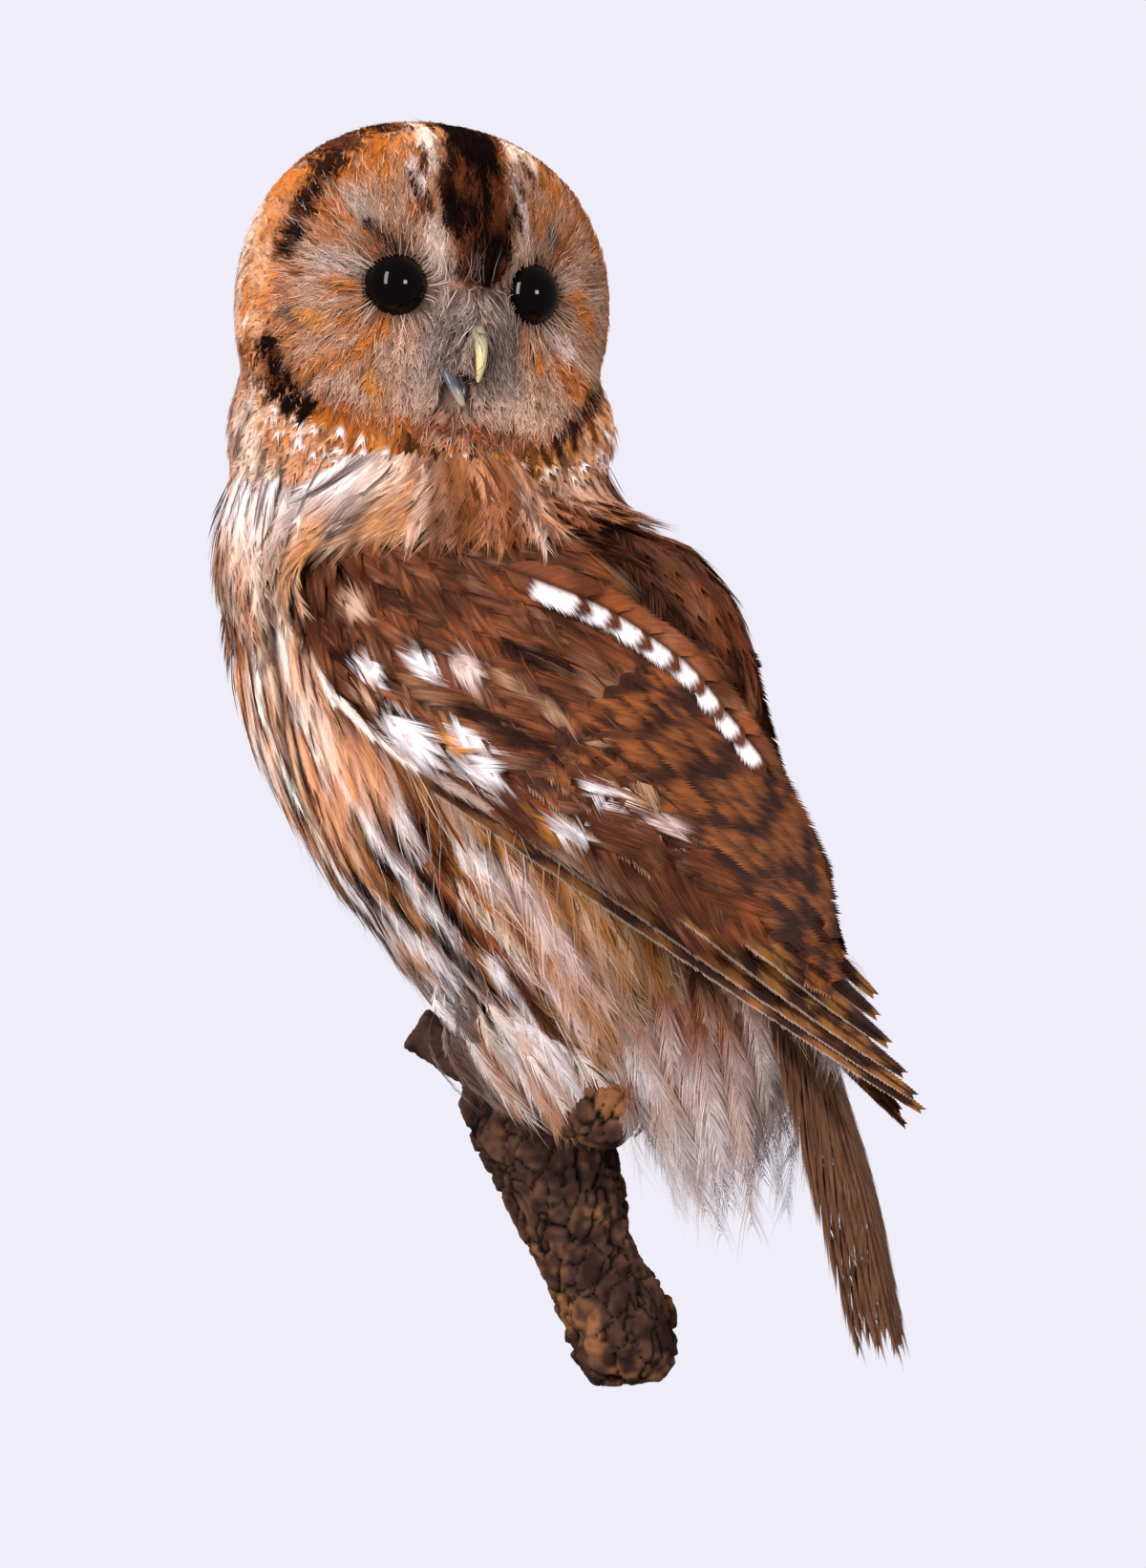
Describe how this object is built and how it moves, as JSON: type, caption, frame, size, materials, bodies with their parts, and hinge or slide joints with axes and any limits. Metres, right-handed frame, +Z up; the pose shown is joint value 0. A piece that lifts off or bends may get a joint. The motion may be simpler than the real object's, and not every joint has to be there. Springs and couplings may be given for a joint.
{
  "type": "taxidermy tawny owl",
  "caption": "Life-size mounted tawny owl perched on a short cut branch, its head turned back over one shoulder, with the branch's sawn end as the face that meets a wall.",
  "frame": {"origin": "middle of the branch's flat sawn end, where it meets the wall", "axes": "+Y out of the object into the wall, +Z up, -Y towards the viewer; the owl's breast faces -X and its tail +X"},
  "size_m": [0.2023, 0.1739, 0.3662],
  "materials": {
    "face_feathers": "soft warm buff facial feathers with rufous bars and a dark brown rim",
    "body_feathers": "soft rufous and cream feathers with dark shaft streaks and fine cross bars",
    "wing_feathers": "chestnut brown coverts with dark blotches and white spots",
    "flight_feathers": "dark brown and rufous vanes with buff notches",
    "pale_feathers": "loose cream and ochre down",
    "toe_feathers": "short pale down over the toes",
    "eye": "polished black glass",
    "bill": "ivory yellow horn, greyer at the base and below",
    "claw": "dark horn",
    "bark": "cracked dark brown bark plates with ochre tops and bare grey-brown wood on the spur"
  },
  "bodies": {
    "root": {"head": "face_feathers", "neck": "body_feathers", "trunk": "body_feathers", "vent": "pale_feathers", "tail": "flight_feathers", "wing_left": "wing_feathers", "wing_right": "wing_feathers", "primaries_left": "flight_feathers", "primaries_right": "flight_feathers", "leg_left": "pale_feathers", "leg_right": "pale_feathers", "foot_left": "toe_feathers", "foot_right": "toe_feathers", "eye_left": "eye", "eye_right": "eye", "bill_upper": "bill", "bill_lower": "bill", "perch": "bark", "claw_left_1": "claw", "claw_left_2": "claw", "claw_left_3": "claw", "claw_left_4": "claw", "claw_right_1": "claw", "claw_right_2": "claw", "claw_right_3": "claw", "claw_right_4": "claw"}
  },
  "joints": []
}
